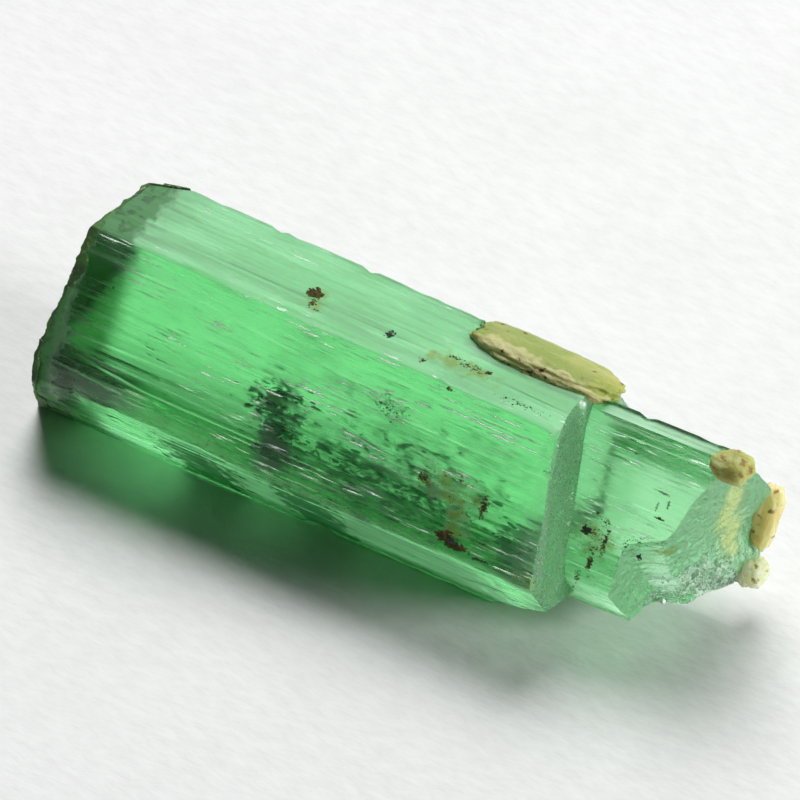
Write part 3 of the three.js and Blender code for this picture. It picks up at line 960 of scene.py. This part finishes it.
def emerald_tint(graph, masks):
    """The colour of the surface, which light takes as it passes in and out. Some tints are painted shade and
    a painted highlight.
    """
    up = masks["up"]
    tint = graph.mix(graph.product(up, 0.7), (0.72, 1.0, 0.8), (0.3, 1.0, 0.42))
    # Painted highlight: a paler tint on the dashes, besides the real glints from their tilted normals.
    tint = graph.mix(graph.product(masks["dashes"], 0.8), tint, (0.95, 1.0, 0.95))
    pale = graph.product(masks["thin"], graph.math("MULTIPLY_ADD", up, -0.5, 0.9))
    tint = graph.mix(pale, tint, (0.93, 1.0, 0.95))
    for name, share, colour in TINTS:
        tint = graph.mix(graph.product(masks[name], share), tint, colour)
    left = graph.math("MAXIMUM", masks["left_rim"], masks["left_edge"])
    stained = graph.product(left, graph.spread(graph.shared_noise(), 0.5, 0.6), 0.7)
    return graph.mix(stained, tint, (0.03, 0.12, 0.03))


def emerald_roughness(graph, masks, striae, haze):
    rough = graph.math("MULTIPLY_ADD", masks["up"], 0.25, graph.spread(striae, 0.4, 0.7, 0.2, 0.34))
    rough = graph.math("MULTIPLY_ADD", haze, 0.3, rough)
    rough = graph.spread(masks["left_edge"], 0.0, 1.0, rough, 0.75)
    return graph.spread(masks["dashes"], 0.3, 0.8, rough, 0.15)


def emerald_normal(graph, masks, striae):
    """Striae on the sides, grain on the broken end, and dashes and crushed grains that catch the light."""
    lines = graph.math("MULTIPLY_ADD", masks["dashes"], 6.0, striae)
    lines = graph.product(lines, graph.math("SUBTRACT", 1.0, masks["ends"]))
    coarse = graph.product(masks["ends"], graph.spread(graph.along_prism(), 20.4, 21.0, 0.0, 40.0))
    coarse = graph.product(coarse, graph.spread(masks["crushed"], 0.0, 1.0, 1.0, 0.45))
    grain = graph.product(graph.noise(4500, 3, 6.0), coarse)
    uneven = graph.bump(graph.math("ADD", grain, lines), DEEPEST_BUMP)
    risers = graph.math("MAXIMUM", graph.product(masks["dashes"], 5.0), graph.product(masks["crushed"], 0.9))
    return graph.lifted(uneven, risers)


def emerald_material():
    graph = Graph("emerald")
    striae = graph.noise(8000, 2, 5.0, (0.025, 1, 1))
    cloudy = graph.noise(1300, 2, 3.0, (0.22, 1, 1))
    masks = emerald_masks(graph, cloudy)
    haze = emerald_haze(graph, masks, striae, cloudy)
    graph.set("Base Color", emerald_tint(graph, masks))
    graph.set("Roughness", emerald_roughness(graph, masks, striae, haze))
    graph.set("Transmission Weight", graph.math("SUBTRACT", 0.98, haze))
    graph.set("Normal", emerald_normal(graph, masks, striae))
    graph.set("IOR", EMERALD_IOR)
    absorption = graph.nodes.new("ShaderNodeVolumeAbsorption")
    absorption.inputs["Color"].default_value = ABSORPTION_COLOUR
    absorption.inputs["Density"].default_value = ABSORPTION_DENSITY
    graph.links.new(absorption.outputs["Volume"], graph.output.inputs["Volume"])
    return graph.material


def coating_material():
    graph = Graph("dark_coating")
    mottle = graph.spread(graph.noise(1400, 4, 1.0), 0.35, 0.65)
    colour = graph.mix(mottle, (0.015, 0.055, 0.014), (0.08, 0.22, 0.05))
    grains = graph.spread(graph.noise(7000, 3, 2.0), 0.6, 0.68)
    colour = graph.mix(grains, colour, (0.32, 0.38, 0.14))
    graph.set("Base Color", colour)
    graph.set("Roughness", graph.spread(mottle, 0.0, 1.0, 0.55, 0.85))
    graph.set("Normal", graph.bump(graph.noise(9000, 4, 4.0), 0.00004))
    return graph.material


def rind_material():
    graph = Graph("rind")
    broad = graph.spread(graph.noise(900, 4, 1.0, (0.6, 1, 1)), 0.4, 0.62)
    colour = graph.mix(broad, (0.28, 0.36, 0.06), (0.42, 0.45, 0.12))
    low_side = graph.low_front_side(RIND)
    ragged = graph.math("MULTIPLY_ADD", graph.noise(1800, 4, 7.0), 1.5, low_side)
    cream = graph.product(graph.spread(ragged, 1.1, 1.35), 0.8)
    colour = graph.mix(cream, colour, (0.58, 0.56, 0.26))
    crumbs = graph.math("MULTIPLY_ADD", graph.noise(3400, 4, 3.0), 2.6, low_side)
    colour = graph.mix(graph.spread(crumbs, 2.3, 2.55), colour, (0.10, 0.06, 0.015))
    rusty = graph.spread(graph.noise(2600, 3, 15.0), 0.66, 0.72)
    colour = graph.mix(rusty, colour, (0.16, 0.045, 0.02))
    graph.set("Base Color", colour)
    graph.set("Roughness", 0.5)
    graph.set("Subsurface Weight", 0.35)
    graph.set("Subsurface Radius", (0.5, 0.45, 0.2))
    graph.set("Subsurface Scale", MM)
    graph.set("Normal", graph.bump(graph.noise(6000, 5, 4.0), 0.00005))
    return graph.material


def crust_material(name, pale, warm, stain):
    graph = Graph(name)
    colour = graph.mix(graph.spread(graph.noise(1500, 4, 1.0), 0.4, 0.62), pale, warm)
    colour = graph.mix(graph.spread(graph.noise(2600, 4, 6.0), 0.58, 0.68), colour, stain)
    graph.set("Base Color", colour)
    graph.set("Roughness", 0.6)
    graph.set("Subsurface Weight", 0.75)
    graph.set("Subsurface Radius", (1.0, 0.8, 0.45))
    graph.set("Subsurface Scale", MM)
    graph.set("Normal", graph.bump(graph.noise(7000, 5, 4.0), 0.00004))
    return graph.material


def mottled_material(name, first, second, scale, roughness, transmission=0.0, ior=None):
    """Two colours mixed by noise, on an uneven surface that may let light through."""
    graph = Graph(name)
    uneven = graph.noise(scale, 3, 2.0)
    graph.set("Base Color", graph.mix(graph.spread(uneven, 0.38, 0.62), first, second))
    graph.set("Roughness", graph.spread(uneven, 0.3, 0.7, roughness - 0.1, roughness + 0.1))
    graph.set("Normal", graph.bump(uneven, 0.05 / scale))
    graph.set("Transmission Weight", transmission)
    if ior is not None:
        graph.set("IOR", ior)
    return graph.material


def paper_material():
    graph = Graph("paper")
    fibres = graph.noise(2600, 3, 9.0, (0.5, 0.9, 1))
    broad = graph.noise(260, 3, 4.0)
    shade = graph.spread(fibres, 0.3, 0.7, 0.0, 0.6)
    shade = graph.math("ADD", shade, graph.spread(broad, 0.3, 0.7, 0.0, 0.4))
    graph.set("Base Color", graph.mix(shade, (0.86, 0.865, 0.86), (0.92, 0.925, 0.92)))
    graph.set("Roughness", 0.9)
    graph.set("Normal", graph.bump(fibres, 0.00003))
    return graph.material


# ---------------- Floor, light and camera

def floor_piece():
    size = FLOOR_HALF_SIZE
    corners = [(-size, -size), (size, -size), (size, size), (-size, size)]
    floor = make_object("floor", [(x, y, FLOOR_LEVEL) for x, y in corners], [(0, 1, 2, 3)])
    floor.data.materials.append(paper_material())


def look_at(target, name, data, azimuth, elevation, distance):
    """A light or camera that looks at a place from a distance."""
    a, e = math.radians(azimuth), math.radians(elevation)
    back = Vector((math.sin(a) * math.cos(e), -math.cos(a) * math.cos(e), math.sin(e)))
    viewer = bpy.data.objects.new(name, data)
    viewer.location = target + back * distance
    viewer.rotation_euler = back.to_track_quat("Z", "Y").to_euler()
    bpy.context.scene.collection.objects.link(viewer)
    return viewer


def area_light(name, azimuth, elevation, distance, size, power):
    """A soft round light that looks at the crystal."""
    data = bpy.data.lights.new(name, "AREA")
    data.shape = "DISK"
    data.size = size
    data.energy = power
    look_at(Vector((0, 0, 0)), name, data, azimuth, elevation, distance)


def world_light(colour, strength):
    world = bpy.data.worlds.new("studio")
    bpy.context.scene.world = world
    world.use_nodes = True
    background = world.node_tree.nodes["Background"]
    background.inputs["Color"].default_value = (*colour, 1)
    background.inputs["Strength"].default_value = strength


def camera():
    data = bpy.data.cameras.new("camera")
    data.sensor_width = 36.0
    data.lens = PIXELS_PER_MM * CAMERA_DISTANCE / MM * data.sensor_width / IMAGE_WIDTH
    data.clip_start = 0.01
    target = Vector(CAMERA_TARGET) * MM
    bpy.context.scene.camera = look_at(
        target, "camera", data, CAMERA_AZIMUTH, CAMERA_ELEVATION, CAMERA_DISTANCE
    )


camera()
floor_piece()
world_light((0.95, 0.98, 1.0), 0.02)
for light_name, settings in LIGHTS.items():
    area_light(light_name, *settings)

crystal_piece(emerald_material())
growth_tubes()
smoky_veils()
dark_grains()
surface_specks()
crushed_crumbs()

coating_piece(coating_material())
lump_piece("rind", "matrix_rind", RIND, rind_material(), 71)
tan = crust_material("tan_crust", (0.42, 0.47, 0.17), (0.36, 0.37, 0.09), (0.26, 0.16, 0.03))
orange = crust_material("orange_crust", (0.86, 0.78, 0.38), (0.78, 0.64, 0.26), (0.36, 0.24, 0.10))
beige = crust_material("beige_crust", (0.92, 0.96, 0.66), (0.80, 0.88, 0.54), (0.40, 0.34, 0.18))
lump_piece("upper_crust", "end_crust_upper", UPPER_CRUST, tan, 72)
lump_piece("outer_crust", "end_crust_outer", OUTER_CRUST, orange, 73)
lump_piece("lower_crust", "end_crust_lower", LOWER_CRUST, beige, 74)

bpy.context.scene.view_settings.view_transform = "Standard"
